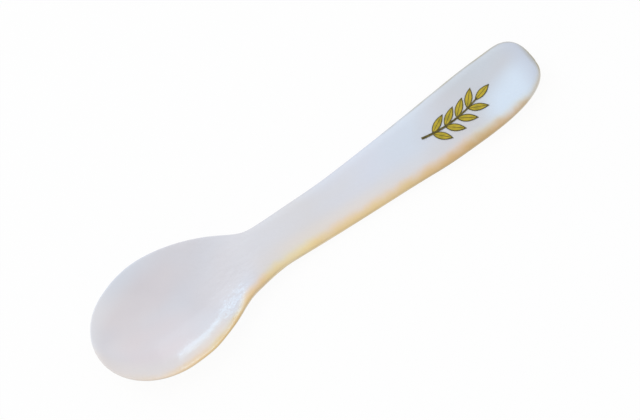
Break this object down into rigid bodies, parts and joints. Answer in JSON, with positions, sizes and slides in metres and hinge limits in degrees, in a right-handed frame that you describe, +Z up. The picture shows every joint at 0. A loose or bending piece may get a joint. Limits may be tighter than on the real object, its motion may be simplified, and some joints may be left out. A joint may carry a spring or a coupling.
{
  "type": "caviar spoon",
  "caption": "Small mother-of-pearl spoon with a shallow oval bowl, a thick neck and a flat crowned handle that turns up at its end, with a gilt leaf sprig near the end.",
  "frame": {"origin": "on the table under the middle of the spoon's box", "axes": "+X from the bowl's tip to the handle's end, +Z up out of the bowl, +Y to the left of someone who looks along +X"},
  "size_m": [0.12, 0.0308, 0.0069],
  "materials": {
    "nacre": "polished mother-of-pearl with a golden edge",
    "gilt": "satin gilt print"
  },
  "bodies": {
    "root": {"spoon_body": "nacre", "gilt_sprig": "gilt"}
  },
  "joints": []
}
